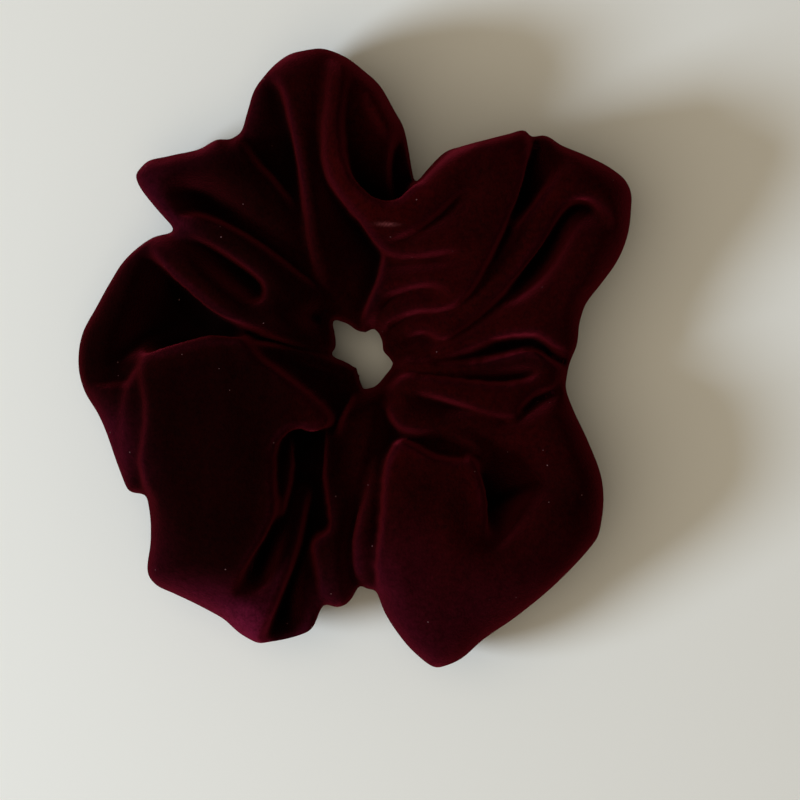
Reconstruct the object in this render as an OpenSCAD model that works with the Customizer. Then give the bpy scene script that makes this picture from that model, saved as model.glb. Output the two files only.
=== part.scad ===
// Velvet scrunchie: a gathered fabric tube closed into a ring round a loop of braided elastic.
// Millimetres. The origin is on the axis of the hair opening, in the plane that the ring lies on, +Z up.
// The casing is cut in two at x = 0, so that the halves can be pulled apart along X as the ring stretches.

/* [Casing] */
// Radius of the gathered opening that the hair goes through
opening_r = 6.5; // [5.5:0.5:8]
// Height of the gathered edge round the opening
opening_h = 12; // [8:1:14]
// Thickness of the velvet, with its pile
wall = 1.2; // [0.8:0.1:1.6]
// Size of the lobes, as a share of their listed reach
lobe_scale = 1; // [0.9:0.05:1.1]
// Number of small gathers round the ring
gathers = 24; // [16:1:30]
// Depth of each small gather
gather_depth = 1.6; // [0:0.1:2]

/* [Elastic] */
// Middle radius of the relaxed elastic loop
elastic_r = 24; // [22:0.5:26]
// Width of the flat braid, which stands on edge
elastic_w = 8; // [6:0.5:10]
// Thickness of the flat braid
elastic_t = 1.2; // [0.8:0.1:1.6]
// Length over which the two ends of the elastic overlap
lap_length = 12; // [8:1:16]

/* [Stitching] */
// Diameter of the sewing thread
thread_d = 0.6; // [0.4:0.1:0.8]
// Length of one stitch
stitch_length = 2; // [1.5:0.1:2.4]
// Where round the ring the two ends of the tube are joined, in degrees from +X
end_seam_at = 76; // [66:1:80]

/* [Hidden] */

$fn = 64;
velvet = "#4a0616";
braid = "#1d1a1c";
thread = "#5a0a1c";

// Each lobe or hollow of the outline: degrees from +X, reach from the axis, height above the table.
outline = [
    [-8, 50, 31], [30, 77, 44], [50, 68, 40], [72, 44, 34], [97, 75, 42], [110, 69, 39], [123, 61, 35],
    [141, 69, 37], [148, 54, 33], [168, 63, 38], [184, 66.6, 40], [211, 63, 36], [229, 74, 39],
    [249, 73, 37], [270, 55, 31], [284, 77, 42], [320, 72, 39], [340, 59, 33], [352, 50, 31]
];

gap = 0.3;                        // between the two halves of the casing
inner_r = opening_r + 1;          // nearest that the plain part of the tube comes to the axis
rest_z = 0.2;                     // the tube's own underside, above the face that it rests on
land_r = [30, 40];                // the flattened band underneath that the ring rests on
land_t = 1;
opening_z = 15;                   // middle height of the opening's edge
elastic_z = 9.6;                  // middle height of the elastic, low in the tube
ring_steps = 54;                  // sections in each half
section_steps = 18;               // points round each section
seam_angle = 258;                 // where the long seam runs on the section: underneath, near the inner side
turning_gap = [96, 130];          // part of the long seam left open to turn the tube, in ring degrees

function ease(t) = (1 - cos(180 * t)) / 2;
function wrapped(a) = a < outline[0][0] ? wrapped(a + 360) : a > outline[0][0] + 360 ? wrapped(a - 360) : a;
function span(a, i = 0) = a <= outline[i + 1][0] || i == len(outline) - 2 ? i : span(a, i + 1);
function between(a, column) = let(
        w = wrapped(a), i = span(w),
        t = (w - outline[i][0]) / (outline[i + 1][0] - outline[i][0])
    ) outline[i][column] + (outline[i + 1][column] - outline[i][column]) * ease(t);

function reach(a) = lobe_scale * between(a, 1) - gather_depth * (1 - cos(gathers * a)) / 2;
function height(a) = between(a, 2) - gather_depth * (1 - cos(gathers * a)) / 2;
function signed_pow(v, p) = sign(v) * pow(abs(v), p);

// The section is an oval above and nearly flat underneath. inset moves it inwards.
function section(a, t, inset = 0) = let(
        half_w = (reach(a) - inner_r) / 2, half_h = (height(a) - rest_z) / 2,
        p = sin(t) < 0 ? 0.45 : 0.85
    ) [
        inner_r + half_w + (half_w - inset) * signed_pow(cos(t), p),
        rest_z + half_h + (half_h - inset) * signed_pow(sin(t), p)
    ];
function on_ring(a, rz) = [rz[0] * cos(a), rz[0] * sin(a), rz[1]];

// A hollow half ring from start to start + 180 degrees, open at its two cut ends.
module half_tube(start) {
    n = section_steps;
    rings = [for (i = [0:ring_steps]) start + 180 * i / ring_steps];
    points = [
        for (inset = [0, wall], a = rings, k = [0:n - 1]) on_ring(a, section(a, 360 * k / n, inset))
    ];
    inside = (ring_steps + 1) * n;
    last = ring_steps * n;
    faces = [
        for (i = [0:ring_steps - 1], k = [0:n - 1]) let(
                a = i * n + k, b = i * n + (k + 1) % n, c = a + n, d = b + n
            ) each [[a, b, d], [a, d, c], [inside + b, inside + a, inside + d], [inside + a, inside + c, inside + d]],
        for (k = [0:n - 1]) let(a = k, b = (k + 1) % n) each [
            [b, a, inside + a], [b, inside + a, inside + b],
            [last + a, last + b, inside + last + a], [last + b, inside + last + b, inside + last + a]
        ]
    ];
    polyhedron(points, faces);
}

// The parts of the casing with true round and flat faces: the opening's edge and the resting band.
module round_edges(side) {
    big = 200;
    intersection() {
        union() {
            translate([0, 0, opening_z - opening_h / 2]) rotate_extrude()
                translate([opening_r, 0]) square([inner_r + wall - opening_r + 0.3, opening_h]);
            rotate_extrude() translate([land_r[0], 0]) square([land_r[1] - land_r[0], land_t]);
        }
        translate([side > 0 ? gap / 2 : -big - gap / 2, -big / 2, -big / 2]) cube(big);
    }
}

module casing_half(side) {
    translate([side * gap / 2, 0, 0]) half_tube(side > 0 ? -90 : 90);
    round_edges(side);
}

// One stitch, lying along the ring at angle a, centred on a point of the section.
module stitch_along(a, rz, length = stitch_length) {
    rotate([0, 0, a]) translate([rz[0], 0, rz[1]]) rotate([90, 0, 0])
        cylinder(d = thread_d, h = length, center = true);
}

// One stitch, lying round the section at section angle t.
module stitch_round(a, t) {
    here = section(a, t, wall / 2);
    ahead = section(a, t + 1, wall / 2);
    tilt = atan2(ahead[1] - here[1], ahead[0] - here[0]);
    rotate([0, 0, a]) translate([here[0], 0, here[1]]) rotate([0, 90 - tilt, 0])
        cylinder(d = thread_d, h = stitch_length, center = true);
}

module long_seam(side) {
    pitch = 7.5;
    for (i = [1:180 / pitch - 1]) {
        a = (side > 0 ? -90 : 90) + i * pitch;
        if (a < turning_gap[0] || a > turning_gap[1])
            translate([side * gap / 2, 0, 0]) stitch_along(a, section(a, seam_angle, wall / 2));
    }
}

module cover_left_half() { color(velvet) casing_half(-1); }

module cover_right_half() { color(velvet) casing_half(1); }

module elastic_band() {
    lap_angle = lap_length / (elastic_r + elastic_t) * 180 / PI;
    color(braid) translate([0, 0, elastic_z - elastic_w / 2]) {
        rotate_extrude() translate([elastic_r - elastic_t / 2, 0]) square([elastic_t, elastic_w]);
        rotate([0, 0, 180 - lap_angle / 2]) rotate_extrude(angle = lap_angle)
            translate([elastic_r + elastic_t / 2, 0]) square([elastic_t, elastic_w]);
    }
}

// Two rows of stitches through both layers of the lap.
module elastic_join_stitches() {
    per_row = 4;
    step = lap_length / per_row / elastic_r * 180 / PI;
    color(thread) for (i = [0:per_row - 1], z = [-elastic_w / 4, elastic_w / 4])
        rotate([0, 0, 180 + (i - (per_row - 1) / 2) * step])
            translate([elastic_r + elastic_t / 2, 0, elastic_z + z]) rotate([0, 90, 0])
                cylinder(d = thread_d, h = 2 * elastic_t + 0.4, center = true);
}

module long_seam_stitches_left() { color(thread) long_seam(-1); }

module long_seam_stitches_right() { color(thread) long_seam(1); }

// The join of the tube's two ends, over the top and down the outer side.
module end_seam_stitches() {
    color(thread) translate([gap / 2, 0, 0]) for (t = [6:16:150]) stitch_round(end_seam_at, t);
}

// Slip stitches, small and close, that shut the turning gap in the long seam.
module closing_slip_stitches() {
    pitch = 4;
    color(thread) translate([-gap / 2, 0, 0]) for (a = [turning_gap[0]:pitch:turning_gap[1]])
        stitch_along(a, section(a, seam_angle, wall / 2), stitch_length / 2);
}

cover_left_half();
cover_right_half();
elastic_band();
elastic_join_stitches();
long_seam_stitches_left();
long_seam_stitches_right();
end_seam_stitches();
closing_slip_stitches();
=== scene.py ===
"""A velvet scrunchie: one gathered tube of velvet closed into a ring round a loop of braided elastic.

Lengths in the tables and functions are millimetres, in the frame of the CAD model: the origin is on the axis of the
hair opening, in the plane that the ring lies on, and +Z is up. MM turns them into Blender's metres.
"""
import math

import bpy
import numpy as np
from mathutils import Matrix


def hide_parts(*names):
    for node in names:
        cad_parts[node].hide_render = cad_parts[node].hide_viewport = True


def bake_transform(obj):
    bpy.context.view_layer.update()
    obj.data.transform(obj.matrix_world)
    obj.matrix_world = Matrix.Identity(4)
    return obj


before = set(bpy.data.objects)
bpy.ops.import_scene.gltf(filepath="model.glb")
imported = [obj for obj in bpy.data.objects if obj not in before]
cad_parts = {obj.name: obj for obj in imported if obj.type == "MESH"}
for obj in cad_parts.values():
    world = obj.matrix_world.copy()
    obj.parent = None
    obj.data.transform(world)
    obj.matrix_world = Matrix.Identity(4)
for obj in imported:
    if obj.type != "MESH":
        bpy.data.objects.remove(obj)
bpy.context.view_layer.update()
MM = 0.001

# ---------------------------------------------------------------------------------------------------------------
# The shape of the velvet, seen from above
# ---------------------------------------------------------------------------------------------------------------

# Outline of the ring: degrees from +X, reach from the axis, height of the cloth just inside it, width of its roll.
OUTLINE = [
    (-8, 50, 27, 5), (-2, 50.6, 22, 5), (2, 52, 27, 6), (9, 53.6, 29, 7), (13, 56, 31, 7), (16, 60, 32, 7),
    (20, 66, 32, 9), (24, 70.5, 33, 9), (28, 73.8, 33, 9), (30.5, 75.7, 33, 9), (33, 76.2, 34, 9),
    (36, 75.2, 35, 9), (41, 72.4, 35, 8), (46, 69.6, 35, 7), (50.4, 68.2, 31, 5), (51.8, 66.2, 26, 4),
    (53.4, 66.5, 34, 3), (56, 63.3, 36, 3), (60, 58.8, 36, 3), (64, 55.3, 33, 5), (67.5, 52.2, 28, 5),
    (70.5, 46.2, 22, 4), (72, 43.5, 18, 3), (74.5, 46.5, 22, 4), (77, 51.4, 24, 5), (79, 55.4, 27, 6),
    (82, 59.2, 29, 6), (86, 65, 31, 6), (89, 67.8, 32, 6), (92, 70.6, 36, 6), (95, 72.8, 37, 9),
    (98, 74, 37, 10), (102, 74, 37, 10), (106, 72.6, 36, 10), (109, 70.5, 34, 8), (112, 68, 30, 6),
    (115, 64, 28, 6), (119, 60.2, 27, 5), (121, 60.2, 27, 5), (123, 61.6, 30, 6), (128, 62.6, 33, 8),
    (134, 66.3, 32, 9), (138.5, 69.2, 31, 9), (141, 69.2, 31, 9), (143, 66, 31, 8), (144.5, 60, 30, 7),
    (146.3, 53.6, 27, 4), (150.5, 57, 27, 5), (154, 59, 28, 7), (158.5, 61, 28, 8), (164, 62.5, 28, 10),
    (170, 64.4, 28, 11), (176, 67, 28, 11), (182.5, 67.9, 27, 11), (187.5, 67, 28, 9), (193, 64.6, 28, 8),
    (199.5, 63.7, 28, 9), (206, 64.1, 27, 8), (210.5, 64.6, 26, 6), (213.5, 61.6, 26, 5), (216, 62.5, 34, 5),
    (222, 67.6, 36, 8), (226, 73.3, 36, 12), (228.5, 74, 36, 16), (232, 73, 36, 19), (236, 72.1, 36, 20),
    (242, 71.7, 35, 19), (247, 73.2, 33, 14), (250.5, 73.6, 31, 9), (252.2, 72.7, 20, 6), (256, 70.4, 17, 6),
    (258.6, 68.5, 19, 6), (260, 67.1, 22, 6), (260.7, 65.2, 21, 5), (261.2, 61.8, 20, 4), (262.4, 60.6, 20, 4),
    (264.5, 61.1, 25, 6), (268, 59, 25, 6), (270, 55.6, 20, 4), (271.5, 56.4, 26, 5), (273.9, 57, 24, 4),
    (275, 61, 33, 6), (277.5, 67.2, 35, 8), (280.5, 73.2, 35, 11), (284.2, 77.8, 34, 17), (288, 77.4, 35, 19),
    (293, 75, 36, 19), (300, 73.6, 36, 17), (308, 72.6, 36, 14), (316, 72.2, 36, 12), (321.5, 72.2, 35, 11),
    (326, 70.2, 34, 10), (332.5, 65.6, 34, 10), (339, 58.8, 33, 9), (346, 52.6, 31, 7),
]
# Painted sheen near the outline, in pink: degrees from +X, how much (1 is plainly pink), how far in.
OUTLINE_SHEEN = [
    (0, 0, 10), (40, 0.1, 8), (70, 0.05, 8), (100, 0.1, 8), (125, 0.15, 8), (142, 0.32, 11), (155, 0.08, 12),
    (183, 0, 16), (190, 0.1, 16), (198, 0.28, 15), (208, 0.25, 13), (214, 0.06, 10), (228, 0.25, 11), (235, 0.6, 12),
    (242, 0.95, 15), (250, 1.65, 16), (257, 0.35, 12), (275, 0.25, 20), (290, 0.26, 28), (310, 0.1, 20), (335, 0, 10),
]
# Patches of painted light and shade in the pile's redness: x, y, half width, half height, change in redness.
LIGHT_AND_SHADE_PATCHES = [
    (24, 5, 18, 22, 0.35), (34, -1.8, 12, 2.6, -0.45), (4, 16, 2.5, 9, -0.55), (50, -33, 9, 7, -0.35),
    (3, 55, 4, 9, 0.45), (-66, 3, 4, 9, -0.35),
]
# The gathered edge of the hair opening: degrees from +X, distance from the axis.
OPENING = [
    (0, 6.2), (12, 5.6), (37, 6.3), (60, 6.9), (79, 5.4), (100, 6), (118, 8.8), (128, 10.2), (140, 8), (150, 6.8),
    (165, 6.2), (178, 6.7), (200, 4.4), (225, 3.4), (251, 3.3), (265, 5), (277, 8.3), (292, 8.4), (320, 7.8),
    (343, 8.1), (352, 7.2),
]
# Lips of the folds, where the cloth drops away: x, y, height on the left, height on the right of the line's course.
# Most names here and below start with their lobe's letter: A is the top lobe, and B to H follow it clockwise.
LIPS = dict(
    f_ridge_edge=[(-27.8, 2.6, 35, 38), (-24.4, -0.4, 32, 38.5), (-20.2, -3.4, 29, 38.5),
        (-15.6, -6.8, 26, 38), (-11.4, -10.2, 24, 37.5), (-8.4, -13, 22, 36.5), (-6.6, -15.6, 19, 35)],
    crescent=[(3.4, 8.6, 25, 22), (6.2, 13, 31, 23), (10, 14.9, 34, 24), (14.9, 16, 36, 25),
        (18.7, 15.4, 36, 27), (21, 13.4, 34, 29)],
    a_left=[(-23.5, 66, 34.6, 24), (-20, 64.2, 36.6, 24), (-18.2, 61, 36.6, 23), (-16.6, 54.5, 36.6, 19),
        (-15.2, 48, 36.6, 17), (-13.8, 40, 34.6, 21), (-12.6, 32, 32.6, 24), (-11.4, 25, 29.6, 24.5),
        (-9.4, 17, 24.6, 22)],
    s_lip_left=[(-6.8, 71, 34.4, 34), (-7.4, 64, 38.2, 33), (-8.8, 54, 39.6, 31), (-8.8, 47, 39.6, 28),
        (-7.6, 41, 39.4, 23), (-4, 35.6, 39, 18), (0, 31, 38.2, 15), (3.4, 26.6, 36.4, 15),
        (6, 24, 34.4, 20), (9.5, 22.9, 35.4, 26), (14, 22.7, 36.9, 26), (19, 23.4, 37.4, 28),
        (24, 24, 37.4, 34)],
    s_lip_right=[(-2.2, 70, 35, 37), (-3.2, 63, 36, 41), (-3.9, 55, 34, 43), (-3.3, 47, 28, 43.4),
        (-1, 41, 19, 43.2), (2.5, 37.3, 15, 42.6), (6.5, 36, 15, 42), (10.2, 37.2, 15, 41.5),
        (13.5, 40.2, 25, 40)],
    b_far_line=[(13.5, 40.2, 28, 39), (17.5, 43.6, 32, 40), (22, 47, 34, 40), (27.5, 50.2, 36, 39)],
    crease_one=[(7.4, 26.6, 37, 31), (12, 28, 40, 28.5), (16.8, 31.2, 41, 28.5), (20.6, 34.6, 42, 30.5),
        (24.4, 38.4, 42, 38)],
    a_slit=[(10.6, 52.6, 26, 30), (8.6, 50.4, 20, 31), (7.5, 47, 16, 29), (7.2, 42, 16, 24),
        (7.4, 37.8, 15, 18)],
    b_panel_edge=[(41.4, 53.4, 24, 34.8), (40.4, 47.5, 14, 38.8), (38.6, 41, 10, 39.8),
        (36.4, 34, 10, 39.8), (33.8, 27.5, 15, 38.8), (30.6, 21.4, 21, 37.8), (27.4, 15.8, 22, 35.8),
        (23.6, 11.6, 21, 33.8), (19, 10.2, 19, 31.8), (13, 9.8, 18, 29.8), (8, 7.8, 18, 26.8),
        (5.6, 5.2, 18, 21.8)],
    band_top=[(47.6, 43.6, 36, 33), (44.2, 39.4, 36, 25), (40.8, 35, 35, 19), (37.4, 31, 34, 19)],
    band_low=[(61, 28, 32, 33.4), (58.4, 32.4, 28, 35.4), (55, 35.4, 22, 36.4), (51.6, 36, 18, 36.4),
        (48, 33, 14, 35.4), (44.4, 27.4, 11, 33.4), (39.4, 20.8, 11, 32.4), (34, 14, 17, 30.4), (29, 9.4, 20, 29.4),
        (23.4, 5, 18, 27.9), (19.4, 3, 17, 26.4), (15.4, 5.2, 17, 25.4), (11.5, 4.4, 17, 22.4)],
    c_one=[(50.6, -2.6, 12, 22), (47, 0.4, 11, 27), (43, 3.7, 11, 29), (39.4, 4.6, 12, 29),
        (33, 3.6, 14, 28), (27.4, 1.4, 19, 27), (20, -0.4, 21, 24.5)],
    c_two=[(49.8, -3.4, 26.8, 13), (46.4, -1.6, 28.8, 11), (43, 0.4, 29.8, 11), (39.6, 0.8, 29.8, 11),
        (34, -0.4, 28.8, 14), (27, -1.8, 27.3, 19), (18, -2.2, 25.8, 21), (11, -1.8, 23.8, 21)],
    c_three=[(42.8, -1.6, 27.4, 30), (42.2, -4.2, 30.4, 20), (38.6, -6.2, 31.4, 16), (32, -6.7, 31.4, 16),
        (24, -6.1, 30.9, 18), (16, -5.2, 29.4, 19), (10.6, -5, 26.4, 19), (7.4, -7.4, 24.4, 18)],
    c_three_low=[(12.4, -8.8, 27.6, 27), (17, -10.2, 30.6, 20), (24, -12.4, 31.6, 17), (30, -14.6, 31.6, 15),
        (37, -15.4, 30.6, 20), (38.8, -13, 30.6, 15), (41, -10.6, 30.6, 14), (45, -9, 29.6, 15),
        (49, -7.2, 26.6, 20)],
    c_four=[(6.4, -12.6, 25, 17), (7.2, -15.6, 27, 17), (10.4, -18.2, 29, 20), (16, -18.3, 30, 25),
        (22, -17, 29.5, 28), (28, -15.8, 29, 29), (33, -15.6, 28, 27)],
    d_top=[(5.6, -30, 23, 37), (6.6, -25, 20, 37), (8.4, -21.6, 17, 37), (10.6, -20.8, 18, 37),
        (13.6, -22, 26, 38), (18, -24.4, 29, 38.5), (23, -25.2, 29, 38.5), (27.4, -24.6, 25, 38.5)],
    d_right=[(27.4, -24.6, 20, 38.5), (28.6, -28, 15, 38), (29.6, -33, 12, 38), (30.2, -38, 12, 37.5),
        (30.6, -42, 20, 37)],
    d_curl=[(28, -24, 29, 33), (26, -22, 28, 32), (22, -20.2, 28, 31), (18, -18.9, 25, 28)],
    d_left=[(5.6, -30, 35.8, 24), (5.1, -37, 35.8, 21), (4.5, -43, 35.8, 20), (3.8, -49, 34.8, 19),
        (4, -56.5, 32.8, 19)],
    e_one=[(3, -24, 23.6, 20), (2, -30, 26.6, 20), (0.4, -36.4, 28.6, 18), (-1.2, -42.5, 28.6, 16),
        (-1.7, -48, 27.6, 16), (-1.2, -52.5, 25.6, 17), (0, -55.4, 21.6, 18)],
    e_two=[(-1, -9.6, 20, 15), (-3.4, -13.6, 25, 14), (-5, -17.4, 26, 14)],
    e_two_low=[(-8, -19, 18, 14), (-8.4, -28, 22, 13), (-7.4, -36, 25, 13), (-7.2, -41.6, 26, 13),
        (-10.6, -44.4, 25, 13), (-11, -48, 25, 14), (-9.8, -54.5, 25, 19), (-9, -59.6, 22, 19)],
    e_zero=[(-12.4, -34, 10, 15), (-13.2, -38, 9, 20), (-14.6, -45, 9, 25), (-16.8, -52.5, 10, 29),
        (-19.8, -60, 12, 31), (-23.2, -68.6, 16, 30)],
    f_flap=[(-15.6, -20.4, 12, 19), (-16.2, -28, 10, 23), (-17, -34, 12, 26), (-18.2, -38.4, 17, 28)],
    f_right=[(-7.6, -17.2, 14, 35), (-11, -18, 12, 36), (-15, -17.8, 14, 37), (-17.8, -19.4, 16, 38),
        (-19.6, -23, 18, 38.5), (-20.2, -29, 20, 38.5), (-19.8, -35.6, 24, 38), (-21, -40.6, 18, 38),
        (-24.4, -46.4, 17, 38), (-27.2, -51.4, 20, 37), (-28.8, -55.4, 28, 36)],
    f_top=[(-29, 3.5, 38, 16), (-35, 3.5, 38, 14), (-41, 2.2, 38, 14), (-46, 1, 37.5, 15),
        (-49.6, 0, 35, 19)],
    f_left=[(-50.8, -2, 35.6, 32), (-51.4, -6, 37, 31), (-50.8, -12, 38, 30), (-51.1, -19, 38, 30),
        (-51.9, -25, 37, 28), (-51.3, -30, 36, 26), (-50.6, -34.2, 35, 24)],
    f_zero=[(-52, -2.4, 31, 24), (-54.6, -5.8, 32, 22), (-56.1, -10, 32, 25), (-56.7, -17, 31, 26),
        (-57.2, -26.5, 28, 25)],
    g_rim=[(-65.4, -7.3, 26, 28), (-61, -7.6, 22, 29), (-56.6, -6.8, 20, 28)],
    g_two_low=[(-8, 0.3, 16, 18.8), (-13, 1.2, 16, 23.8), (-18, 2.6, 16, 25.8), (-24, 5, 15, 28.8),
        (-30, 7.6, 14, 31.8), (-35, 10.6, 13, 32.8), (-40, 14.8, 13, 32.8), (-45, 19, 14, 31.8), (-50, 24, 18, 29.8)],
    eye_top=[(-45, 28.6, 27.6, 24), (-40, 27.8, 29.6, 24), (-35, 25.3, 30.6, 21), (-30, 22.2, 30.6, 19),
        (-26, 19.4, 30.6, 18), (-23.6, 17, 29.6, 19), (-22.9, 14.8, 29.6, 20), (-24, 12.8, 29.6, 22),
        (-26.6, 11.8, 29.6, 26)],
    h_low=[(-46, 32, 25, 29.4), (-40, 33.2, 21, 29.6), (-34, 31.7, 21, 30.6), (-28, 28.8, 22, 30.8),
        (-22, 25.2, 20, 29.8), (-16, 20.6, 19, 27.8), (-9.6, 15.4, 19, 23.8)],
    h_crease=[(-16, 35.6, 25, 20), (-19.5, 40.4, 27, 18), (-24, 45.4, 28, 19), (-28, 50.4, 29, 24)],
    b_inner=[(5.2, 24, 27, 15), (4.9, 20.5, 28, 15), (3.6, 16.4, 27, 15), (1.8, 12, 25, 15),
        (0.2, 8, 22, 14)],
    f_rim=[(-26, 3.4, 17, 30), (-19, 2.2, 16, 27), (-11, 0.4, 15, 24), (-5, -1, 14, 22)],
)
# Lines that the cloth passes smoothly through: x, y, height.
SOFT_LINES = dict(
    d_valley_low=[(34.4, -40.4, 20), (39, -37.4, 28), (45, -35.4, 34)],
    a_panel=[(-16, 70, 36), (-12, 62, 36.4), (-12.6, 50, 35.6), (-11, 40, 33.4)],
    a_dome=[(3.4, 64, 38.5), (6.4, 58, 41), (7, 52, 39.5)],
    a_small=[(9.5, 44.6, 17), (12.4, 42, 17)],
    lip_crest=[(-4.8, 69, 39.4), (-5.8, 60, 41), (-6.2, 51, 41.8), (-5.4, 43, 41.8), (-1.4, 37.5, 41.8),
        (4, 33.6, 42), (10, 34.4, 42.4), (17, 40, 43.4), (26, 46.5, 43.6), (36, 49, 41.8)],
    b_crown=[(14, 25.4, 37), (22, 29.4, 40), (29, 33, 42), (34, 39, 43), (37.4, 46, 41)],
    b_low=[(28, 21.6, 38), (23, 19, 37), (17, 18.8, 36), (11, 18.8, 34), (6.4, 16.6, 31), (3.4, 12.6, 26)],
    b_groove=[(7.4, 20.6, 26), (12, 21, 27), (17, 21.2, 28), (22, 21.8, 31)],
    band=[(58, 40, 37), (50, 39.6, 38), (45, 34.6, 37), (38, 25, 35.5), (31, 17, 33), (24, 9.6, 30),
        (17, 7, 27)],
    corner=[(44.6, 50, 33), (50, 46, 37), (58, 44, 37)],
    dome=[(60, 30, 31.5), (56.6, 27, 35), (54, 20, 36), (49, 12, 33), (42, 8.4, 31), (33, 6.4, 28.5),
        (24, 2.4, 25.6)],
    dome_shoulder=[(52, 31, 31), (50, 24.4, 33), (46.4, 17.6, 32), (41.2, 13, 30), (35, 10.4, 27.5)],
    hollow_b=[(50.2, 31.6, 15), (47, 25.6, 9), (42.4, 18.8, 9), (36.8, 13.2, 14)],
    c_two_body=[(12, -3.7, 25), (24, -4, 24.6), (34, -3, 24.4), (40, -1, 26)],
    c_three_body=[(9.4, -7.6, 27.5), (16, -7.4, 30.5), (26, -9, 32.5), (36, -10.4, 33), (43, -6, 31.5),
        (48, -5, 29)],
    c_four_body=[(7.8, -11.4, 26), (11, -14.6, 28.5), (18, -14.6, 27.5), (26, -15.4, 25)],
    d_upper=[(20, -18.6, 24), (30, -18.4, 29), (40, -18, 33), (47, -14, 33), (51, -22, 35)],
    d_upper_two=[(32, -22.4, 27), (40, -25, 31), (50, -27, 34)],
    d_valley=[(32, -37.5, 8), (36, -34.6, 11), (39.6, -32.4, 17), (43, -31, 24), (47, -30.2, 31),
        (54, -30.2, 34.5)],
    d_valley_end=[(32.4, -41.4, 19), (34, -45.6, 31)],
    d_panel=[(10, -26, 38), (9, -38, 39), (9, -50, 38), (13, -62, 36.5)],
    d_panel_two=[(20, -29, 39), (22, -44, 39), (28, -50, 38), (38, -44, 37), (48, -37, 36)],
    e_one_body=[(4, -27, 24), (3, -34, 29), (1.4, -44, 31), (1.6, -52, 28)],
    e_top=[(3.4, -10, 22), (1, -16, 26), (0.6, -25, 27), (-0.6, -32, 24), (-3, -40, 22), (-3.6, -48, 21)],
    e_two_body=[(-5, -20, 21), (-5.6, -32, 25), (-4.6, -42, 27), (-6, -50, 28), (-5, -57, 26)],
    e_three=[(-13, -50, 18), (-12.6, -57, 21), (-11.8, -63.4, 22)],
    crevice=[(-12, -20, 12), (-11, -32, 9), (-12, -42, 9), (-14.4, -50, 9), (-17, -59, 8),
        (-18.2, -65.4, 10)],
    f_dark=[(-18.4, -40, 19), (-20.6, -46, 14), (-23.4, -52, 15), (-25, -56.6, 23)],
    f_low=[(-28, -59.6, 35), (-21.6, -59, 33)],
    f_panel=[(-46, -4, 38.5), (-46, -20, 39), (-46, -36, 38), (-44, -48, 37)],
    f_panel_two=[(-32, -2, 39), (-30, -16, 39.5), (-28, -30, 39.5), (-32, -46, 39), (-34, -54, 37)],
    f_ridge=[(-28, 2.6, 37.5), (-26, -2, 38.5)],
    f_back=[(-20, 0.6, 23), (-14, -1.4, 19), (-8, -3.4, 17), (-3.6, -6.8, 16)],
    f_zero_body=[(-53, -4, 33.5), (-54, -12, 33), (-54.4, -22, 31), (-54, -30, 27)],
    pocket=[(-12.4, 9, 10), (-10.6, 8.6, 8), (-8.6, 8, 10)],
    g_floor=[(-47, 18, 9), (-42, 10, 8), (-36, 5.6, 9), (-50, 6, 11), (-57, -1, 18)],
    g_wall=[(-53.6, 22, 25), (-57, 14, 28), (-60, 6, 27), (-62, -1, 24)],
    g_panel=[(-62, -10, 29), (-59, -17, 29), (-58.4, -26, 27)],
    g_two=[(-46, 24.4, 31), (-40, 19.6, 35), (-34, 14.4, 35.5), (-28, 10.4, 34), (-21, 7.8, 32),
        (-15, 5.6, 28.5)],
    g_fold=[(-47, 27.2, 28), (-42, 25.7, 28), (-38.6, 23.8, 28)],
    eye_low=[(-36, 21.6, 24), (-30, 17.2, 20), (-27.6, 15, 19)],
    h_two=[(-46, 33, 30), (-40, 31, 32.5), (-33, 27.8, 33.5), (-27, 24.4, 33.5), (-21, 19, 32),
        (-17, 14, 29), (-13, 13, 26)],
    h_panel=[(-47, 43.6, 33), (-38, 46.4, 33), (-31, 43, 32), (-25.4, 37.6, 30), (-19, 29, 28),
        (-13.6, 21.4, 24)],
    h_hollow=[(-44.4, 38.2, 22), (-39, 39, 17), (-34, 36.8, 17), (-28.6, 32.8, 21)],
    h_strip=[(-29.6, 50.8, 30), (-25.4, 45.6, 30), (-20.4, 39.8, 29), (-16.6, 33, 27), (-13, 26, 24)],
    h_groove=[(-30.6, 50, 29), (-27, 44.6, 28.6), (-23, 38.6, 27.6), (-19.6, 33, 26)],
)

CELL = 0.4            # of the square grid that heights are worked out on
GRID_X = (-76.0, 76.0)
GRID_Y = (-84.0, 82.0)
LIP_ROUND = 1.25      # radius of the cloth's bend over a lip
LIP_BACK = 1.0        # how far behind its line a lip starts, before that bend fills it out
LEAN = 0.07           # how far lips lean out over the hollow below them, per mm of height and unit of slope
MOST_LEAN = 1.6
EDGE_Z = 14.0         # height of the outline, where the tube is widest
OPENING_Z = 9.0       # height of the opening's edge
OPENING_ROLL = 5.0    # width of the roll there
OPENING_TOP = 20.0    # height of the cloth just outside that roll
HELD = 0.7            # width of the strips at the outline and the opening that are held at their heights
WALL = 1.2            # velvet with its pile
END_SEAM = 76.0       # bearing of the join of the tube's two ends
UNDER_ROLL = 12.0     # width of the outline's roll on the underside
UNDER_LIFT = 0.1      # height of the underside where it rests
GATHERS = 17          # creases underneath
ELASTIC_R = 24.0      # middle radius of the elastic loop
ELASTIC_Z = (5.6, 13.6)
ELASTIC_T = 1.2       # thickness of the braid
LAP = 12.0            # length over which the ends of the elastic overlap, at 180 degrees
THREAD_R = 0.3
SEAM_DEPTH = 0.62     # of the end seam's stitches in the cloth

xs = np.arange(GRID_X[0], GRID_X[1], CELL)
ys = np.arange(GRID_Y[0], GRID_Y[1], CELL)
GX, GY = np.meshgrid(xs, ys)
DEGREES = np.arange(0, 361.0, 0.5)


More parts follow.
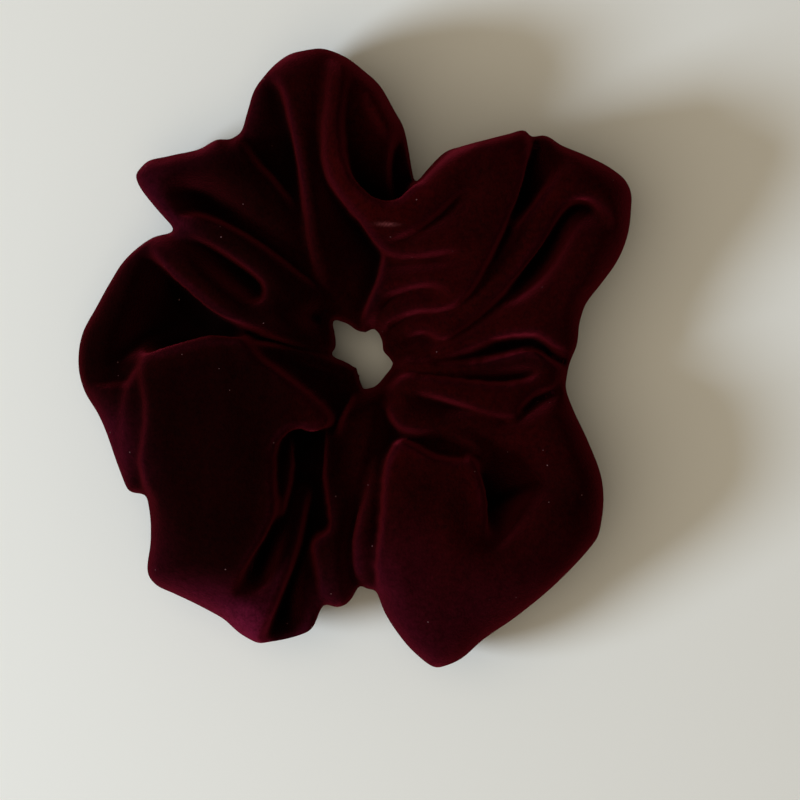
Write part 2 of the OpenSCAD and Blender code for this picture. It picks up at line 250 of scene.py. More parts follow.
def smooth_line(points, step):
    """Points about `step` apart on a smooth curve through the listed ones, with their other columns."""
    p = np.array(points, float)
    p = np.vstack([2 * p[0] - p[1], p, 2 * p[-1] - p[-2]])
    out = []
    for a, b, c, d in zip(p, p[1:], p[2:], p[3:]):
        n = max(2, int(np.hypot(*(c - b)[:2]) / step))
        t = np.arange(n)[:, None] / n
        out.append(0.5 * (2 * b + (c - a) * t + (2 * a - 5 * b + 4 * c - d) * t**2 + (3 * b - a - 3 * c + d) * t**3))
    out.append(p[-2:-1])
    return np.vstack(out)


def round_table(table, column, degrees):
    """A column of a table of bearings, at other bearings: a smooth closed curve that never overshoots its points."""
    t = np.array(table + [(table[0][0] + 360, *table[0][1:])], float)
    a, v = t[:, 0], t[:, column]
    gap, slope = np.diff(a), np.diff(v) / np.diff(a)
    before, gap_before = np.roll(slope, 1), np.roll(gap, 1)
    m = (before * gap + slope * gap_before) / (gap + gap_before)
    most = 3 * np.minimum(abs(slope), abs(before))
    m = np.where(slope * before <= 0, 0, np.sign(m) * np.minimum(abs(m), most))
    m = np.append(m, m[0])
    d = (np.asarray(degrees, float) - a[0]) % 360 + a[0]
    i = np.clip(np.searchsorted(a, d, side="right") - 1, 0, len(gap) - 1)
    h, s = gap[i], (d - a[i]) / gap[i]
    return ((2 * s**3 - 3 * s**2 + 1) * v[i] + (s**3 - 2 * s**2 + s) * h * m[i]
            + (3 * s**2 - 2 * s**3) * v[i + 1] + (s**3 - s**2) * h * m[i + 1])


REACH = round_table(OUTLINE, 1, DEGREES)
RIM_HEIGHT = round_table(OUTLINE, 2, DEGREES)
RIM_ROLL = round_table(OUTLINE, 3, DEGREES)
MOUTH = round_table(OPENING, 1, DEGREES)


def at_bearing(values, x, y):
    return np.interp(np.degrees(np.arctan2(y, x)) % 360, DEGREES, values)


def nearest(px, py, line):
    """Distance from each point to a line's nearest sample, and that sample's index."""
    d2 = (px[:, None] - line[:, 0]) ** 2 + (py[:, None] - line[:, 1]) ** 2
    i = d2.argmin(1)
    return np.sqrt(d2[np.arange(len(px)), i]), i


def distance_to_ring(x, y, reach):
    """Distance in the plane from each point to a closed curve given by its reach at each of DEGREES."""
    a = np.radians(DEGREES[DEGREES < 360])
    ring = np.column_stack([np.cos(a), np.sin(a)]) * reach[:len(a), None]
    points = np.column_stack([x.ravel(), y.ravel()])
    i = np.concatenate([nearest(*part.T, ring)[1] for part in np.array_split(points, 16)])
    best = np.full(len(points), np.inf)
    for j in (i - 1, i):
        start, way = ring[j], ring[(j + 1) % len(a)] - ring[j]
        share = np.clip(((points - start) * way).sum(1) / (way**2).sum(1), 0, 1)
        best = np.minimum(best, np.linalg.norm(points - start - share[:, None] * way, axis=1))
    return best.reshape(x.shape)


def fold_heights():
    """Heights that the fold lines fix on the grid (NaN elsewhere), and which of them belong to a lip."""
    fixed = np.full(GX.shape, np.nan)
    is_lip = np.zeros(GX.shape, bool)

    def stamp(points, lip):
        line = smooth_line(points, 0.25)
        along = np.gradient(line[:, :2], axis=0)
        if lip:  # the bend over the lip will fill this back out to the line
            drop = line[:, 2] - line[:, 3]
            inward = np.column_stack([-along[:, 1], along[:, 0]]) / np.hypot(*along.T)[:, None]
            line[:, :2] += inward * (np.clip(drop / 8, -1, 1) * LIP_BACK)[:, None]
        i0, j0 = ((line[:, :2].min(0) - (GRID_X[0], GRID_Y[0])) / CELL - 3).astype(int).clip(0)
        i1, j1 = ((line[:, :2].max(0) - (GRID_X[0], GRID_Y[0])) / CELL + 4).astype(int)
        near = (slice(j0, j1), slice(i0, i1))
        x, y = GX[near], GY[near]
        d, k = (v.reshape(x.shape) for v in nearest(x.ravel(), y.ravel(), line))
        side = along[k, 0] * (y - line[k, 1]) - along[k, 1] * (x - line[k, 0])
        if lip:
            on = d < 1.05 * CELL
            fixed[near][on] = np.where(side > 0, line[k, 2], line[k, 3])[on]
            is_lip[near][on] = True
        else:
            on = (d < 0.75 * CELL) & ~is_lip[near]
            fixed[near][on] = line[k, 2][on]

    for points in LIPS.values():
        stamp(points, True)
    for points in SOFT_LINES.values():
        stamp(points, False)
    return fixed, is_lip


def neighbour_mean(z):
    return (np.roll(z, 1, 0) + np.roll(z, -1, 0) + np.roll(z, 1, 1) + np.roll(z, -1, 1)) / 4


def stretched_between(fixed):
    """The taut surface through the fixed heights, solved on coarser grids first."""
    known = ~np.isnan(fixed)
    z = np.where(known, fixed, fixed[known].mean())
    j, i = np.indices(z.shape)
    for coarse, rounds in ((8, 200), (4, 200), (2, 200), (1, 260)):
        cj, ci = j // coarse, i // coarse
        shape = (cj.max() + 1, ci.max() + 1)
        count, total = np.zeros(shape), np.zeros(shape)
        np.add.at(count, (cj[known], ci[known]), 1)
        np.add.at(total, (cj[known], ci[known]), fixed[known])
        all_count, all_total = np.zeros(shape), np.zeros(shape)
        np.add.at(all_count, (cj, ci), 1)
        np.add.at(all_total, (cj, ci), z)
        held = count > 0
        held_z = total / np.maximum(count, 1)
        level = all_total / all_count
        for _ in range(rounds):
            level = np.where(held, held_z, neighbour_mean(level))
        z = np.where(known, fixed, level[cj, ci])
    return z


def blurred(z, sigma):
    n = int(3 * sigma / CELL) + 1
    k = np.exp(-0.5 * (np.arange(-n, n + 1) * CELL / sigma) ** 2)
    for axis in (0, 1):
        z = sum(w * np.roll(z, s, axis) for w, s in zip(k / k.sum(), range(-n, n + 1)))
    return z


def rolled_over(z, radius):
    """The surface that a ball of this radius, resting on z, touches: lips turn round, and creases stay sharp."""
    n = int(radius / CELL)
    out = z.copy()
    for dj in range(-n, n + 1):
        for di in range(-n, n + 1):
            rest = radius**2 - (dj**2 + di**2) * CELL**2
            if rest >= 0:
                out = np.maximum(out, np.roll(z, (dj, di), (0, 1)) + math.sqrt(rest) - radius)
    return out


def top_heights():
    """Height of the velvet's upper side over the grid, before its outer and inner rolls."""
    fixed, is_lip = fold_heights()
    r = np.hypot(GX, GY)
    rim, mouth = at_bearing(REACH, GX, GY), at_bearing(MOUTH, GX, GY)
    beyond = (r > rim - HELD) & ~is_lip
    fixed[beyond] = at_bearing(RIM_HEIGHT, GX, GY)[beyond]
    fixed[(r < mouth + HELD) & ~is_lip] = OPENING_TOP
    held = is_lip | beyond | (r < mouth + HELD)
    z = stretched_between(fixed)
    for _ in range(24):
        z = np.where(held, z, neighbour_mean(z))
    z = rolled_over(blurred(z, 0.35), LIP_ROUND)
    return blurred(z, 0.5)


def unevenness(x, y):
    """Gentle waves in the cloth, in mm, stronger where it is gathered close to the opening."""
    total = 0
    for k in range(8):
        length, turn = 7.0 + 3.3 * k, 2.4 * k
        bend = 1.5 * np.sin(y / 9 + k)
        total = total + 0.009 * length * np.sin(
            2 * math.pi * (x * math.cos(turn) + y * math.sin(turn) + bend) / length + 1.7 * k * k)
    return total * (1 + np.exp(-(np.hypot(x, y) / 26) ** 2))


def lean(z, x, y):
    """How far points on the height grid z move sideways, so that lips overhang and the walls below turn under."""
    broad = blurred(z, 2.2)
    down_y, down_x = (-v for v in np.gradient(broad, CELL))
    above = sampled(z - broad, x, y)
    shift = LEAN * np.stack([sampled(down_x, x, y), sampled(down_y, x, y)], -1) * above[..., None]
    size = np.linalg.norm(shift, axis=-1, keepdims=True)
    return shift * np.tanh(size / MOST_LEAN) * MOST_LEAN / np.maximum(size, 1e-6)


def sampled(grid, x, y):
    """The grid's value at each point, between its cells."""
    u = np.clip((x - GRID_X[0]) / CELL, 0, len(xs) - 1.001)
    v = np.clip((y - GRID_Y[0]) / CELL, 0, len(ys) - 1.001)
    i, j = u.astype(int), v.astype(int)
    s, t = u - i, v - j
    return ((grid[j, i] * (1 - s) + grid[j, i + 1] * s) * (1 - t)
            + (grid[j + 1, i] * (1 - s) + grid[j + 1, i + 1] * s) * t)


# ---------------------------------------------------------------------------------------------------------------
# The velvet tube
# ---------------------------------------------------------------------------------------------------------------
COLUMNS = 660         # round the ring
TOP_ROWS = 110        # from the outline over the top to the opening
UNDER_ROWS = 18       # and back underneath


def depth_inside(x, y):
    """Distance from the outline, more gradual near a tip, where much of the outline lies round about."""
    a = np.radians(DEGREES[DEGREES < 360])
    ring = np.column_stack([np.cos(a), np.sin(a)]) * REACH[:len(a), None]
    step = np.linalg.norm(np.roll(ring, -1, 0) - np.roll(ring, 1, 0), axis=1) / 2
    exact = distance_to_ring(x, y, REACH)
    points = np.column_stack([x.ravel(), y.ravel()])
    # summed along a straight outline at distance d, this comes to pi / (2 d^3)
    near = np.concatenate([(step / (((part[:, None] - ring) ** 2).sum(-1) + 0.2) ** 2).sum(1)
                           for part in np.array_split(points, 200)]).reshape(x.shape)
    gentle = (near * 2 / math.pi) ** (-1 / 3)
    share = np.clip((exact - 0.5) / 3, 0, 1)
    return exact + (gentle - exact) * share


def bearings(count):
    """Bearings of the tube's columns, closer together where the outline runs steeply in or out."""
    a = np.radians(DEGREES)
    step = np.hypot(np.diff(REACH * np.cos(a)), np.diff(REACH * np.sin(a)))
    travel = np.concatenate([[0], np.cumsum(step + 0.5 * step.mean())])
    return np.interp(np.arange(count) / count * travel[-1], travel, DEGREES)


def roll_rise(distance, width):
    """Rise of a rounded edge, from 0 at the edge to 1 where the roll ends: a little squarer than an ellipse."""
    return (1 - (1 - np.clip(distance / width, 0, 1)) ** 2.5) ** 0.4


def spread(count, first_roll, last_roll, length):
    """Distances from 0 to length, closer together inside the roll at each end."""
    n = count // 6
    turn = (1 - np.cos(np.arange(n) / n * math.pi / 2))[:, None]
    middle = np.linspace(0, 1, count - 2 * n)[:, None]
    first, last, length = np.broadcast_arrays(first_roll, last_roll, length)
    return np.vstack([turn * first, first + middle * (length - first - last), (length - turn * last)[::-1]])


def gathers(x, y):
    """Depth, from 0 to 1, of the creases that run out from the opening on the underside."""
    a, r = np.arctan2(y, x), np.hypot(x, y)
    bend = 0.25 * np.sin(3 * a + 1) + 0.12 * np.sin(5 * a + r / 14)
    wave = 0.5 + 0.5 * np.cos(GATHERS * a + 4 * bend + 0.6 * np.sin(r / 9 + 2 * a))
    return wave**3


HEIGHTS = top_heights()


def stitch_ends(*nodes):
    """The two ends of each stitch in these nodes of the CAD model, in mm."""
    ends = []
    for node in nodes:
        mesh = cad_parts[node].data
        co = np.array([v.co for v in mesh.vertices]) / MM
        group = np.arange(len(co))
        edges = np.array([e.vertices for e in mesh.edges])
        while True:  # every vertex takes the lowest number in its own stitch
            lowest = np.minimum(group[edges[:, 0]], group[edges[:, 1]])
            before = group.copy()
            np.minimum.at(group, edges[:, 0], lowest)
            np.minimum.at(group, edges[:, 1], lowest)
            if (group == before).all():
                break
        for g in np.unique(group):
            p = co[group == g]
            middle = p.mean(0)
            axis = np.linalg.svd(p - middle)[2][0]
            half = abs((p - middle) @ axis).max()
            ends.append((middle - axis * half, middle + axis * half))
    return np.array(ends)


LONG_SEAM = stitch_ends("long_seam_stitches_left", "closing_slip_stitches", "long_seam_stitches_right")


def seam_radius(bearing):
    """Distance of the long seam from the axis, at bearings in radians."""
    middle = LONG_SEAM.mean(1)
    at = np.arctan2(middle[:, 1], middle[:, 0])
    order = at.argsort()
    return np.interp(bearing, at[order], np.hypot(middle[:, 0], middle[:, 1])[order], period=2 * math.pi)


def tube_points():
    """Rows of points round the tube's section, for each bearing: over the top from the outline, then underneath."""
    degrees = bearings(COLUMNS)
    a = np.radians(degrees)
    rim, mouth = np.interp(degrees, DEGREES, REACH), np.interp(degrees, DEGREES, MOUTH)
    roll = np.interp(degrees, DEGREES, RIM_ROLL)
    edge_z = EDGE_Z + 1.6 * np.sin(7 * a + 1) + 1.1 * np.sin(13 * a)  # a little uneven, as cloth is

    inward = spread(TOP_ROWS, roll, OPENING_ROLL, rim - mouth)
    x, y = (rim - inward) * np.cos(a), (rim - inward) * np.sin(a)
    to_rim, to_mouth = distance_to_ring(x, y, REACH), distance_to_ring(x, y, MOUTH)
    z = sampled(HEIGHTS, x, y) + unevenness(x, y)
    # the cloth passes over the elastic with a little room, and meets the folds smoothly there
    cover = ELASTIC_Z[1] + WALL + 0.8 - 0.35 * np.maximum(abs(np.hypot(x, y) - ELASTIC_R) - 2, 0) ** 1.5
    z = np.logaddexp(z * 3, cover * 3) / 3
    z = edge_z + (z - edge_z) * roll_rise(depth_inside(x, y), at_bearing(RIM_ROLL, x, y))
    z = OPENING_Z + (z - OPENING_Z) * roll_rise(to_mouth, OPENING_ROLL)
    inside = np.clip(np.minimum(to_rim, to_mouth) / 5, 0, 1)[..., None]
    top = np.concatenate([np.stack([x, y], -1) + inside * lean(HEIGHTS, x, y), z[..., None]], -1)

    outward = spread(UNDER_ROWS + 2, OPENING_ROLL, UNDER_ROLL, rim - mouth)[1:-1]
    x, y = (mouth + outward) * np.cos(a), (mouth + outward) * np.sin(a)
    r, bearing = np.hypot(x, y), np.arctan2(y, x)
    lift = gathers(x, y) * (3.3 + 4.2 * np.exp(-((r - 12) / 7) ** 2))  # deepest close to the opening
    at_seam = np.exp(-((r - seam_radius(bearing)) / 1.6) ** 2)
    lift = UNDER_LIFT + lift * (1 - at_seam) + at_seam
    z = edge_z + (lift - edge_z) * roll_rise(depth_inside(x, y), UNDER_ROLL)
    z = OPENING_Z + (z - OPENING_Z) * roll_rise(distance_to_ring(x, y, MOUTH), OPENING_ROLL)
    return np.concatenate([top, np.stack([x, y, z], -1)])


def eased(points, rounds, share=0.5):
    """The tube's points drawn towards their four neighbours."""
    for _ in range(rounds):
        mean = (np.roll(points, 1, 0) + np.roll(points, -1, 0) + np.roll(points, 1, 1) + np.roll(points, -1, 1)) / 4
        points = points + share * (mean - points)
    return points


def outward_normals(points):
    across = np.roll(points, -1, 0) - np.roll(points, 1, 0)
    along = np.roll(points, -1, 1) - np.roll(points, 1, 1)
    n = np.cross(along, across)
    return n / np.linalg.norm(n, axis=-1, keepdims=True)


def torus_faces(rows, columns, start, inside_out):
    """Faces of a closed grid of points, numbered from start."""
    j, i = np.meshgrid(np.arange(rows), np.arange(columns), indexing="ij")
    j2, i2 = (j + 1) % rows, (i + 1) % columns
    quads = np.stack([j * columns + i, j * columns + i2, j2 * columns + i2, j2 * columns + i], -1).reshape(-1, 4)
    return start + (quads[:, ::-1] if inside_out else quads)


def mesh_object(name, points, faces):
    mesh = bpy.data.meshes.new(name)
    mesh.from_pydata((np.asarray(points, float) * MM).tolist(), [], [list(map(int, f)) for f in faces])
    mesh.update()
    mesh.polygons.foreach_set("use_smooth", [True] * len(mesh.polygons))
    obj = bpy.data.objects.new(name, mesh)
    bpy.context.scene.collection.objects.link(obj)
    return obj


def lining_of(points):
    """The tube's inner face, coarser than the outer one and clear of it at the foot of every fold."""
    inner = points - WALL * outward_normals(eased(points, 6))
    top = points[:TOP_ROWS, :, 2]
    first, last = 20, TOP_ROWS - 20  # rows between the two rolls, where it also stays below all its neighbours
    for dj in range(-2, 3):
        for di in range(-3, 4):
            beside = np.roll(top, di, 1)[first + dj:last + dj]
            inner[first:last, :, 2] = np.minimum(inner[first:last, :, 2], beside - WALL)
    return inner[::2, ::3]


def velvet_cover(points):
    lining = lining_of(points)
    faces = np.vstack([torus_faces(*points.shape[:2], 0, False),
                       torus_faces(*lining.shape[:2], points.shape[0] * points.shape[1], True)])
    obj = mesh_object("velvet_cover", np.vstack([points.reshape(-1, 3), lining.reshape(-1, 3)]), faces)
    # the inner face: 0.3 of the red, a painted shade, and 0.3 of the painted sheen's pink
    inside = np.full(lining.shape[0] * lining.shape[1], 0.3)
    red, pink, crushed = pile_colours(points)
    remember(obj, red=np.append(red, inside), pink=np.append(pink, inside), crushed=np.append(crushed, 0 * inside))
    return obj


def pile_colours(points):
    """How red, how pink and how pale the pile looks at each point: 0 is not at all, and 1 the usual strength.

    The red is painted light and shade. It starts from 1 on top and from 0.6 underneath; painted shade takes it nearly
    to black deep in the folds and fades it towards -X, a painted highlight brightens it along ridges, and
    LIGHT_AND_SHADE_PATCHES paints it lighter or darker in patches. The pink is painted sheen, along the lips of the
    folds and near the outline where OUTLINE_SHEEN says. One short streak is pale."""
    x, y, z = np.moveaxis(points, -1, 0)
    on_top = np.arange(points.shape[0])[:, None] < TOP_ROWS
    depth = sampled(blurred(HEIGHTS, 5) - HEIGHTS, x, y)  # below the cloth round about
    # painted shade: deep in the folds the red goes nearly to black
    painted_fold_shade = np.clip((depth - 2.5) / 7, 0, 1)
    # painted highlight: the red is brighter along ridges
    painted_ridge_highlight = np.clip((-depth - 3.5) / 6, 0, 1)
    # painted light and shade: the red fades towards -X and is fullest towards +X
    painted_light_to_right = 1 / (1 + np.exp(-(x + 0.15 * y + 6) / 7))
    red = np.where(on_top, 1 - 0.9 * painted_fold_shade, 0.6) * (1 + 0.9 * painted_ridge_highlight) * (0.36 + 0.68 * painted_light_to_right)
    # painted light and shade, patch by patch
    for at_x, at_y, half_width, half_height, change in LIGHT_AND_SHADE_PATCHES:
        red = red * (1 + change * np.exp(-((x - at_x) / half_width) ** 2 - ((y - at_y) / half_height) ** 2))
    # painted sheen: pink near the outline, where OUTLINE_SHEEN says, and less of it in the folds
    sheen_share = at_bearing(round_table(OUTLINE_SHEEN, 1, DEGREES), x, y)
    reach = at_bearing(round_table(OUTLINE_SHEEN, 2, DEGREES), x, y)
    pink = sheen_share * np.clip(1 - distance_to_ring(x, y, REACH) / reach, 0, 1) ** 1.6 * np.clip(1 - (depth - 1) / 5, 0, 1)
    # painted highlight: thin pink lines along the lips of the folds
    crest = sampled(HEIGHTS - blurred(HEIGHTS, 0.8), x, y) * on_top
    pink = pink + 0.1 * np.clip((crest - 0.25) / 1.2, 0, 1)
    crushed = np.exp(-((x - 6.4) / 2.2) ** 2 - ((y - 30.5 + 0.04 * x) / 0.3) ** 2) * (z > 25)
    return red, pink, crushed


def remember(obj, **values):
    """Stores where each point lies at rest, in mm, and other values by point, for the materials to use."""
    n = len(obj.data.vertices)
    co = np.empty(3 * n)
    obj.data.vertices.foreach_get("co", co)
    obj.data.attributes.new("place", "FLOAT_VECTOR", "POINT").data.foreach_set("vector", co / MM)
    for name, value in values.items():
        obj.data.attributes.new(name, "FLOAT", "POINT").data.foreach_set("value", np.ravel(value))


# ---------------------------------------------------------------------------------------------------------------
# Thread and elastic
# ---------------------------------------------------------------------------------------------------------------
def stitches(name, ends, sag=0.0):
    """One piece made of a rounded, twisted length of thread between each pair of ends, sagging down in the middle."""
    along = np.sin(np.linspace(-1, 1, 15) * math.pi / 2)
    turn = np.arange(10) / 10 * 2 * math.pi
    thick = (1 - np.abs(along) ** 5) ** 0.5 + 0.02
    points, faces = [], []
    for a, b in ends:
        way = (b - a) / np.linalg.norm(b - a)
        side = np.cross(way, (0.31, 0.42, 0.85))
        side /= np.linalg.norm(side)
        other = np.cross(way, side)
        middle = (a + b) / 2 + np.outer(along / 2, b - a) + np.outer(1 - along**2, (0, 0, -sag))
        ply = 1 + 0.1 * np.cos(2 * (turn[None, :] - 2.2 * along[:, None]))
        ring = np.cos(turn)[None, :, None] * side + np.sin(turn)[None, :, None] * other
        start = len(points) * along.size * turn.size
        points.append((middle[:, None] + THREAD_R * (thick[:, None] * ply)[..., None] * ring).reshape(-1, 3))
        n = turn.size
        faces += [[start + j * n + i, start + j * n + (i + 1) % n, start + (j + 1) * n + (i + 1) % n,
                   start + (j + 1) * n + i] for j in range(along.size - 1) for i in range(n)]
        last = start + (along.size - 1) * n
        faces += [[start + i for i in reversed(range(n))], [last + i for i in range(n)]]
    obj = mesh_object(name, np.vstack(points), faces)
    remember(obj)
    return obj


def end_seam_ends(points, count=10, length=2.0):
    """Ends of the stitches across the join of the tube's two ends, sunk in the cloth along one of its sections."""
    sunk = (points - SEAM_DEPTH * outward_normals(eased(points, 6)))[:TOP_ROWS]
    at = np.arctan2(points[0, :, 1], points[0, :, 0])
    section = eased(sunk, 3)[:, abs(at - math.radians(END_SEAM)).argmin()]
    run = np.append(0, np.cumsum(np.linalg.norm(np.diff(section, axis=0), axis=1)))
    middles = np.linspace(0.06, 0.94, count) * run[-1]
    place = lambda s: np.column_stack([np.interp(s, run, c) for c in section.T])
    return np.stack([place(middles - length / 2), place(middles + length / 2)], 1)


def braid(s, z):
    """How raised a flat braid is, from 0 to 1: its strands run both ways at a slant and pass over each other."""
    u, v = (s + z) / 1.7, (s - z) / 1.7
    over = (np.floor(u) + np.floor(v)) % 2
    return np.where(over < 1, abs(np.sin(math.pi * u)), abs(np.sin(math.pi * v))) ** 0.6


def elastic():
    """The loop of flat braid on edge, and the end that laps over its outside, as one band."""
    low, high = ELASTIC_Z
    n = 36
    turn = np.arange(n) / n * 2 * math.pi
    half_w, half_t = (high - low) / 2, ELASTIC_T / 2
    flat = lambda v, p: np.sign(v) * abs(v) ** p
    across, up = half_t * flat(np.cos(turn), 0.35), half_w * flat(np.sin(turn), 0.55)
    points, raised, faces = [], [], []
    lap = math.degrees(LAP / (ELASTIC_R + ELASTIC_T))
    loop = (ELASTIC_R, 180, 360, True)
    lapped_end = (ELASTIC_R + ELASTIC_T, 180 - lap / 2, lap, False)
    for middle_r, first, sweep, closed in (loop, lapped_end):
        count = int(sweep * 2.6)
        a = np.radians(first + np.arange(count) / (count if closed else count - 1) * sweep)[:, None]
        bulge = braid(a * ELASTIC_R, up[None, :])
        r = middle_r + across - 0.12 * np.sign(across) * (1 - bulge)
        start = sum(map(len, points))
        z = np.broadcast_to((low + high) / 2 + up, r.shape)
        points.append(np.stack([r * np.cos(a), r * np.sin(a), z], -1).reshape(-1, 3))
        raised.append(bulge.ravel())
        rows = count if closed else count - 1
        faces += [[start + j * n + i, start + (j + 1) % count * n + i, start + (j + 1) % count * n + (i + 1) % n,
                   start + j * n + (i + 1) % n] for j in range(rows) for i in range(n)]
        if not closed:
            faces += [[start + i for i in range(n)], [start + (count - 1) * n + i for i in reversed(range(n))]]
    obj = mesh_object("elastic_loop", np.vstack(points), faces)
    remember(obj, raised=np.concatenate(raised))
    return obj


# ---------------------------------------------------------------------------------------------------------------
# Materials
# ---------------------------------------------------------------------------------------------------------------
# painted shade: the near black that the folds and other shaded places are painted towards
PAINTED_SHADE_BLACK = (0.0008, 0.0005, 0.0004)    # seen end on, deep in a fold
PILE_RED = (0.020, 0.0009, 0.0009)
# painted sheen: the pink that stands for the pile's sheen
SHEEN_PINK = (0.075, 0.0045, 0.016)       # seen from its side
PALE_STREAK_COLOUR = (0.20, 0.05, 0.05)
LINT = (0.10, 0.05, 0.05)


def node_material(name):
    m = bpy.data.materials.new(name)
    m.use_nodes = True
    return m, m.node_tree.nodes, m.node_tree.links, m.node_tree.nodes["Principled BSDF"]


def value_of(nodes, name):
    node = nodes.new("ShaderNodeAttribute")
    node.attribute_name = name
    return node.outputs["Vector" if name == "place" else "Fac"]


def noise(nodes, links, scale, detail=2.0):
    """Noise fixed to the cloth, so that it moves with it; scale is waves per mm."""
    node = nodes.new("ShaderNodeTexNoise")
    node.inputs["Scale"].default_value = scale
    node.inputs["Detail"].default_value = detail
    links.new(value_of(nodes, "place"), node.inputs["Vector"])
    return node.outputs["Fac"]


def calculated(nodes, links, operation, a, b):
    node = nodes.new("ShaderNodeMath")
    node.operation = operation
    for socket, value in zip(node.inputs, (a, b)):
        if isinstance(value, (int, float)):
            socket.default_value = value
        else:
            links.new(value, socket)
    return node.outputs[0]


def mixed(nodes, links, share, a, b):
    """One colour passing into another by share; each is a colour or another node's output."""
    node = nodes.new("ShaderNodeMix")
    node.data_type = "RGBA"
    links.new(share, node.inputs["Factor"])
    for socket, value in (("A", a), ("B", b)):
        if isinstance(value, tuple):
            node.inputs[socket].default_value = (*value, 1)
        else:
            links.new(value, node.inputs[socket])
    return node.outputs["Result"]


def bumps(nodes, links, shader, *layers):
    """Bump from (height, depth in mm, strength) layers, each on top of the last."""
    normal = None
    for height, depth, strength in layers:
        node = nodes.new("ShaderNodeBump")
        node.inputs["Distance"].default_value = depth * MM
        node.inputs["Strength"].default_value = strength
        links.new(height, node.inputs["Height"])
        if normal:
            links.new(normal, node.inputs["Normal"])
        normal = node.outputs["Normal"]
    links.new(normal, shader.inputs["Normal"])


def velvet_material():
    m, nodes, links, shader = node_material("velvet")
    shader.inputs["Roughness"].default_value = 0.9
    shader.inputs["Specular IOR Level"].default_value = 0
    shader.inputs["Sheen Weight"].default_value = 0.14
    shader.inputs["Sheen Roughness"].default_value = 0.42
    shader.inputs["Sheen Tint"].default_value = (0.9, 0.05, 0.09, 1)
    grain = noise(nodes, links, 1.7, 3)
    bumps(nodes, links, shader, (noise(nodes, links, 0.09), 1.0, 0.4), (grain, 0.3, 0.75))

    def times(a, b):
        return calculated(nodes, links, "MULTIPLY", a, b)

    mottle = calculated(nodes, links, "ADD", grain, noise(nodes, links, 0.65))
    patchy = calculated(nodes, links, "ADD", noise(nodes, links, 0.05), times(mottle, 1.6))
    patchy = calculated(nodes, links, "SUBTRACT", patchy, 0.8)
    red = times(value_of(nodes, "red"), times(patchy, 0.41))
    pink = times(value_of(nodes, "pink"), times(patchy, 0.7))
    crushed = times(value_of(nodes, "crushed"), grain)
    # the red share carries painted light and shade, and the pink share carries painted sheen
    colour = mixed(nodes, links, red, PAINTED_SHADE_BLACK, PILE_RED)
    colour = mixed(nodes, links, pink, colour, SHEEN_PINK)
    colour = mixed(nodes, links, crushed, colour, PALE_STREAK_COLOUR)

    lint = nodes.new("ShaderNodeTexVoronoi")
    lint.inputs["Scale"].default_value = 0.2
    links.new(value_of(nodes, "place"), lint.inputs["Vector"])
    speck = calculated(nodes, links, "LESS_THAN", lint.outputs["Distance"], 0.035)
    links.new(mixed(nodes, links, speck, colour, LINT), shader.inputs["Base Color"])
    return m


def thread_material():
    m, nodes, links, shader = node_material("thread")
    shader.inputs["Roughness"].default_value = 0.6
    shader.inputs["Sheen Weight"].default_value = 0.1
    fibres = noise(nodes, links, 4.0, 3)
    links.new(mixed(nodes, links, fibres, (0.018, 0.001, 0.003), (0.06, 0.006, 0.011)), shader.inputs["Base Color"])
    bumps(nodes, links, shader, (fibres, 0.08, 0.6))
    return m


def elastic_material():
    m, nodes, links, shader = node_material("braided_elastic")
    shader.inputs["Roughness"].default_value = 0.75
    shader.inputs["Sheen Weight"].default_value = 0.1
    # painted shade: the braid is darker where its strands lie low
    shade = mixed(nodes, links, value_of(nodes, "raised"), (0.004, 0.0035, 0.004), (0.02, 0.018, 0.019))
    links.new(shade, shader.inputs["Base Color"])
    bumps(nodes, links, shader, (noise(nodes, links, 3.0), 0.05, 0.5))
    return m


# ---------------------------------------------------------------------------------------------------------------
# Camera, light and floor
# ---------------------------------------------------------------------------------------------------------------
VIEW_CENTRE = (9.6, -11.0, 17.0)
VIEW_WIDTH = 192.0        # across the frame, at the height of VIEW_CENTRE
CAMERA_HEIGHT = 1000.0    # above VIEW_CENTRE


def camera():
    data = bpy.data.cameras.new("camera")
    data.lens = data.sensor_width * CAMERA_HEIGHT / VIEW_WIDTH
    data.clip_end = 20
    obj = bpy.data.objects.new("camera", data)
    x, y, z = VIEW_CENTRE
    obj.location = (x * MM, y * MM, (z + CAMERA_HEIGHT) * MM)
    bpy.context.scene.collection.objects.link(obj)
    bpy.context.scene.camera = obj


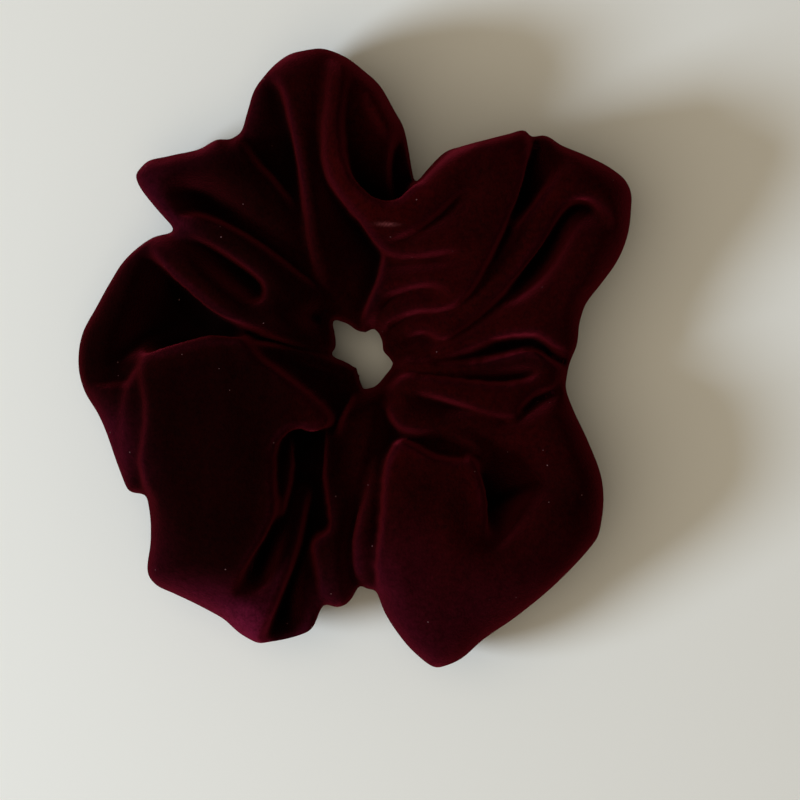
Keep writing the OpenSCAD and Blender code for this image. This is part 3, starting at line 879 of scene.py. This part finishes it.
def area_light(name, bearing, elevation, distance, size, power, colour):
    data = bpy.data.lights.new(name, "AREA")
    data.shape = "DISK"
    data.size = size
    data.energy = power
    data.color = colour
    obj = bpy.data.objects.new(name, data)
    b, e = math.radians(bearing), math.radians(elevation)
    towards = (math.cos(b) * math.cos(e), math.sin(b) * math.cos(e), math.sin(e))
    obj.location = [distance * v for v in towards]
    obj.rotation_euler = (math.pi / 2 - e, 0, b + math.pi / 2)
    bpy.context.scene.collection.objects.link(obj)


def room():
    world = bpy.data.worlds.new("room")
    world.use_nodes = True
    world.node_tree.nodes["Background"].inputs["Color"].default_value = (1.0, 0.87, 0.68, 1)
    world.node_tree.nodes["Background"].inputs["Strength"].default_value = 0.2
    bpy.context.scene.world = world
    bpy.context.scene.view_settings.view_transform = "Standard"
    area_light("window", 196, 34, 1.2, 0.38, 12.5, (0.80, 0.93, 1.10))
    area_light("ceiling", 200, 72, 1.4, 1.6, 7.0, (1.0, 0.88, 0.70))


def floor():
    bpy.ops.mesh.primitive_plane_add(size=6)
    obj = bpy.context.object
    obj.name = "floor"
    m, _, _, shader = node_material("floor")
    shader.inputs["Base Color"].default_value = (0.80, 0.79, 0.735, 1)
    shader.inputs["Roughness"].default_value = 0.9
    obj.data.materials.append(m)


def finished(obj, material, slot, *nodes):
    """Gives a piece its material, bakes its placement into its mesh, and hides the CAD nodes that it stands for."""
    obj.data.materials.append(material)
    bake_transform(obj)
    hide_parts(*nodes)
    return obj


camera()
room()
floor()

cloth = eased(tube_points(), 3)
cover = finished(velvet_cover(cloth), velvet_material(), "velvet", "cover_left_half", "cover_right_half")
finished(elastic(), elastic_material(), "braided_elastic", "elastic_band")
sewn = thread_material()
for node in ("long_seam_stitches_left", "long_seam_stitches_right", "closing_slip_stitches"):
    finished(stitches(node + "_thread", stitch_ends(node), 0.1), sewn, "thread", node)
elastic_join = stitches("elastic_join_thread", stitch_ends("elastic_join_stitches"))
finished(elastic_join, sewn, "thread", "elastic_join_stitches")
finished(stitches("end_seam_thread", end_seam_ends(cloth)), sewn, "thread", "end_seam_stitches")
